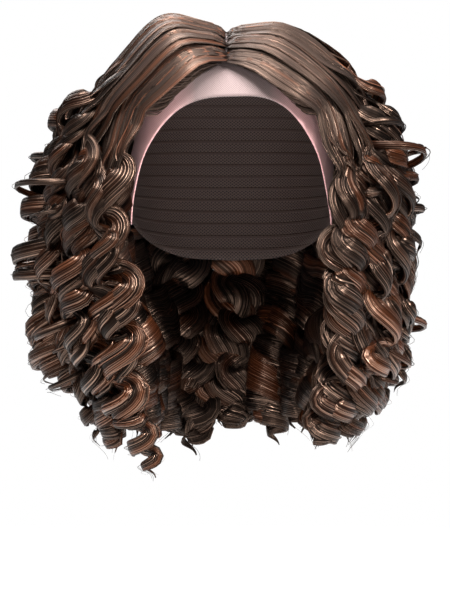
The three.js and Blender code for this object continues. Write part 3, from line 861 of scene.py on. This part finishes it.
def add_ribbons(sweeps, lock, ribbons, which, sides):
    count = len(which)
    end, early, half = [
        values[which][:, None] for values in (ribbons.end, ribbons.early, ribbons.half)
    ]
    s = ring_distances(lock, ribbons, which, RIBBON_RINGS)
    rings = s.shape[1]
    zero = np.zeros((count, 1))
    paths, ups = lock_places(lock, ribbons, which, s, zero, zero, zero, zero)
    paths, ups = seated(lock, paths, ups, s, ribbons.root_aside[which][:, None])

    half_width, half_thickness = lock.half_sizes(np.minimum(s, lock.length))
    gather = gathered(lock.turns(s, early))
    tip = TIP + (1 - TIP) * ramp((end - s) / lock.pitch, *TIP_TURNS)
    root = ROOT_DEPTH + (1 - ROOT_DEPTH) * ramp(s, 0, ROOT_RISE)
    fray_length = RNG.uniform(*FRAY_LENGTH, zero.shape)
    frayed = 1 + FRAY * np.sin(s / fray_length + RNG.uniform(0, ANY_ANGLE, zero.shape))
    crown = np.clip(s / lock.coil_start, 0, CROWN_WIDTH_END)
    spread = 1 + CROWN_WIDTH * np.sin(np.pi * crown) ** 0.5
    spread = spread + BEHIND_ROOT_WIDTH * lock.behind * (1 - ramp(s, 0, 0.5 * lock.coil_start))
    spread = spread * (1 + BEHIND_WIDTH * lock.behind * (1 - gather))
    widths = half_width * half * spread * tip * frayed
    coil_depth = np.where(ribbons.loop[which], LOOP_DEPTH, COIL_DEPTH)[:, None]
    depths = half_thickness * (WAVE_DEPTH + (coil_depth - WAVE_DEPTH) * gather) * tip * root

    tints = np.empty((count, rings, sides, 3))
    for tint, level in zip(tints, ribbons.auburn[which]):
        auburn = np.clip(level + RNG.normal(0, AUBURN_BLUR, sides), 0, 1)
        tint[:] = strand_tints(sides, rings, auburn).transpose(1, 0, 2)
    corner = (count, 1, sides)
    ridge_length = RNG.uniform(*RIDGE_LENGTH, corner)
    wave = np.sin(s[..., None] / ridge_length + RNG.uniform(0, ANY_ANGLE, corner))
    groove = np.where(np.arange(sides) % 2, GROOVE, -GROOVE) * gather[..., None]
    ridges = 1 + groove + RIDGE_WAVE * wave + RNG.normal(0, RIDGE_SPREAD, corner)
    sweeps.add(paths, ups, widths, depths, tints * RIBBON_PAINTED_SHADE, sides, s, ridges)


# Strands: how far across and up their ribbon they lie, how loose and uneven they are
ACROSS, UP, STRAY_LOOSE, STRAND_LOOSE = 1.05, (0.85, 1.35), (0.25, 0.6), 0.07
STRAY_PHASE, STRAND_PHASE, END_SHIFT, END_SPREAD, START = 0.3, 0.09, -2, 5, 3
SWAY, SWAY_LENGTH, TAPER, TAPER_START = 0.25, (14, 30), 0.7, 0.75


def add_strands(sweeps, lock, ribbons, count, stray):
    """Strands that lie on the ribbons, or stray hairs that stand off them."""
    which = np.arange(count) % ribbons.count
    share = ring_distances(lock, ribbons, which, STRAND_RINGS) / ribbons.end[which][:, None]
    across = RNG.uniform(-ACROSS, ACROSS, (count, 1))
    up = RNG.uniform(*UP, (count, 1)) * np.sqrt(np.clip(1.15 - across**2, 0.1, 1))
    if stray:
        loose = RNG.uniform(*STRAY_LOOSE, (count, 1))
    else:
        loose = np.abs(RNG.normal(0, STRAND_LOOSE, (count, 1)))
    phase = RNG.normal(0, STRAY_PHASE if stray else STRAND_PHASE, (count, 1))
    end = ribbons.end[which] + RNG.normal(END_SHIFT, END_SPREAD, count)
    start = RNG.uniform(0, START, (count, 1))
    s = start + share * (end[:, None] - start)
    sway_length = RNG.uniform(*SWAY_LENGTH, (count, 1))
    sway = np.sin(s / sway_length + RNG.uniform(0, ANY_ANGLE, (count, 1)))
    paths, ups = lock_places(lock, ribbons, which, s, across + SWAY * sway, up, loose, phase)
    paths, ups = seated(lock, paths, ups, s, RNG.uniform(-1, 1, (count, 1)) * lock.part_blur)
    taper = 1 - TAPER * ramp(share, TAPER_START, 1)
    radius = RNG.uniform(*(STRAY_RADIUS if stray else STRAND_RADIUS), (count, 1)) * taper
    auburn = np.clip(ribbons.auburn[which] + RNG.normal(0, AUBURN_BLUR, count), 0, 1)
    add_tubes(sweeps, paths, ups, radius, strand_tints(count, share.shape[1], auburn), s)


def add_tubes(sweeps, paths, ups, radius, tints, s):
    tints = np.repeat(tints[:, :, None], TUBE_SIDES, axis=2)
    sweeps.add(paths, ups, radius, radius, tints, TUBE_SIDES, s, np.ones((1, 1, TUBE_SIDES)))


def add_hairline(sweeps, lock, side):
    """Short hairs that rise from the lace into the front edge of a lock."""
    count = HAIRLINE_HAIRS
    along = np.linspace(0, 1, HAIRLINE_RINGS) * RNG.uniform(*HAIRLINE_LENGTH, (count, 1))
    s = RNG.uniform(HAIRLINE_START, HAIRLINE_END * lock.coil_start, (count, 1)) + along
    half_width, half_thickness = lock.half_sizes(s)
    edge = RNG.uniform(*HAIRLINE_EDGE, (count, 1)) - HAIRLINE_DRAWN_IN * ramp(along, 0, 30)
    up = half_thickness * RNG.uniform(*HAIRLINE_UP, (count, 1))
    none = np.zeros(s.shape)
    paths, ups = lock.places(s, side * edge * half_width, up, none, none, none, (none, none))
    paths, ups = lifted(paths, ups, along, HAIRLINE_RISE)
    radius = RNG.uniform(*HAIRLINE_RADIUS, (count, 1)) * (1 - 0.5 * ramp(along, 15, 45))
    add_tubes(sweeps, paths, ups, radius, strand_tints(count, s.shape[1], np.zeros(count)), s)


def lock_hair(lock, ribbons, strands, strays):
    sweeps = Sweeps()
    layered = ribbons.layered & ~ribbons.loop
    add_ribbons(sweeps, lock, ribbons, np.flatnonzero(~ribbons.layered), RIBBON_SIDES)
    add_ribbons(sweeps, lock, ribbons, np.flatnonzero(layered), RIBBON_SIDES)
    if ribbons.loop.any():
        add_ribbons(sweeps, lock, ribbons, np.flatnonzero(ribbons.loop), LOOP_SIDES)
    add_strands(sweeps, lock, ribbons, strands, stray=False)
    add_strands(sweeps, lock, ribbons, strays, stray=True)
    return sweeps


def finish_piece(piece, slot, *nodes):
    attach(piece, "root")
    if nodes:
        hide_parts(*nodes)
    return piece


hair = hair_material()


def add_outer(label, side, row):
    lock = outer_lock(side, row)
    spring = row["spring"] * (LEFT_SPRING if side < 0 else RIGHT_SPRING)
    ribbons = Ribbons(
        lock,
        **OUTER_RIBBONS,
        loops=SPRINGY_LOOPS if row["spring"] > SPRINGY else 0,
        auburn=row["auburn"],
        early=row["early"],
        tightness=row["tightness"],
        wavy=row["wavy"],
        spring=spring,
    )
    sweeps = lock_hair(lock, ribbons, OUTER_STRANDS, OUTER_STRAYS)
    if row is OUTER_LOCKS[0]:
        add_hairline(sweeps, lock, side)
    piece = sweeps.object(f"lock_{label}", hair)
    finish_piece(piece, "hair", f"wave_{label}", f"ringlet_{label}")


for number, row in enumerate(OUTER_LOCKS[:-1], 1):
    add_outer(f"left_{number}", -1, row)
    add_outer(f"right_{number}", 1, row)
add_outer("back", 1, OUTER_LOCKS[-1])

for number, azimuth in enumerate(INNER_AZIMUTHS, 1):
    lock = inner_lock(azimuth)
    ribbons = Ribbons(lock, **INNER_RIBBONS, auburn=0.1, early=0.3, tightness=1.3, spring=0.4)
    sweeps = lock_hair(lock, ribbons, INNER_STRANDS, INNER_STRAYS)
    piece = sweeps.object(f"inner_lock_{number}", hair)
    finish_piece(piece, "hair", f"inner_ringlet_{number}")

for label, side in (("left", -1), ("right", 1)):
    sweeps = Sweeps()
    for row in TEMPLE_LOCKS:
        lock = temple_lock(side, row)
        ribbons = Ribbons(lock, **TEMPLE_RIBBONS, auburn=0.25, wavy=1)
        add_ribbons(sweeps, lock, ribbons, np.arange(ribbons.count), RIBBON_SIDES)
        add_strands(sweeps, lock, ribbons, TEMPLE_STRANDS, stray=False)
    finish_piece(sweeps.object(f"temple_hair_{label}", hair), "hair")

cap = finish_piece(net_cap(net_material()), "cap_net", "net_cap")
lace = finish_piece(lace_front(lace_material()), "lace", "lace_front")


# Stage: a pale floor that fades out into a white surround, soft lights and the camera
FLOOR_Z, FLOOR_RADIUS, FLOOR_FADE = -0.42, 1.6, (0.3, 1.5)
FILL = 0.1
LIGHTS_AIM = Vector((0, 0, -0.13))


def floor():
    bpy.ops.mesh.primitive_circle_add(
        vertices=96, radius=FLOOR_RADIUS, fill_type="NGON", location=(0, 0, FLOOR_Z)
    )
    piece = bpy.context.object
    piece.name = "floor"
    nodes = Nodes("floor")
    place = nodes.add("TexCoord").outputs["Object"]
    distance = nodes.add("VectorMath", {0: place}, operation="LENGTH").outputs["Value"]
    fade = nodes.between(distance, *FLOOR_FADE, 1.0, 0.0, interpolation_type="SMOOTHSTEP")
    nodes.feed(nodes.shader.inputs["Alpha"], fade)
    nodes.shader.inputs["Base Color"].default_value = grey(0.86)
    nodes.shader.inputs["Roughness"].default_value = 0.8
    piece.data.materials.append(nodes.material)


def surround():
    world = bpy.data.worlds.new("studio")
    bpy.context.scene.world = world
    world.use_nodes = True
    tree = world.node_tree
    tree.nodes.clear()
    path = tree.nodes.new("ShaderNodeLightPath")
    seen, light = [tree.nodes.new("ShaderNodeBackground") for _ in range(2)]
    seen.inputs[0].default_value = grey(1.0)
    light.inputs[0].default_value = grey(0.8)
    light.inputs[1].default_value = FILL
    mix = tree.nodes.new("ShaderNodeMixShader")
    out = tree.nodes.new("ShaderNodeOutputWorld")
    tree.links.new(path.outputs["Is Camera Ray"], mix.inputs[0])
    tree.links.new(light.outputs[0], mix.inputs[1])
    tree.links.new(seen.outputs[0], mix.inputs[2])
    tree.links.new(mix.outputs[0], out.inputs[0])


def soft_light(name, place, size, power):
    light = bpy.data.lights.new(name, "AREA")
    light.size = size
    light.energy = power
    lamp = bpy.data.objects.new(name, light)
    bpy.context.scene.collection.objects.link(lamp)
    lamp.location = place
    aim = LIGHTS_AIM - Vector(place)
    lamp.rotation_euler = aim.to_track_quat("-Z", "Y").to_euler()
    lamp.visible_camera = False


# The photograph's frame: millimetres to a pixel, and its middle in the part's frame
PIXEL, FRAME_HEIGHT = 0.70, 600
VIEW_MIDDLE = Vector((-0.0049, 0, -0.1848))
CAMERA_DISTANCE = 3.0


def camera():
    data = bpy.data.cameras.new("camera")
    data.lens = data.sensor_width * CAMERA_DISTANCE / (PIXEL * MM * FRAME_HEIGHT)
    eye = bpy.data.objects.new("camera", data)
    bpy.context.scene.collection.objects.link(eye)
    eye.location = VIEW_MIDDLE - Vector((0, CAMERA_DISTANCE, 0))
    eye.rotation_euler = (math.pi / 2, 0, 0)
    bpy.context.scene.camera = eye


floor()
surround()
soft_light("key", (0.2, -1.7, 1.9), 0.7, 75)
soft_light("top", (-0.25, -0.5, 2.1), 1.8, 145)
soft_light("right", (1.6, -1.3, 1.1), 0.7, 84)
soft_light("left", (-1.6, -1.4, 0.6), 1.0, 8)
soft_light("front", (0.1, -2.4, -0.1), 1.2, 14)
soft_light("back", (-0.5, 2.0, 1.2), 1.2, 26)
camera()
bpy.context.scene.view_settings.view_transform = "Standard"
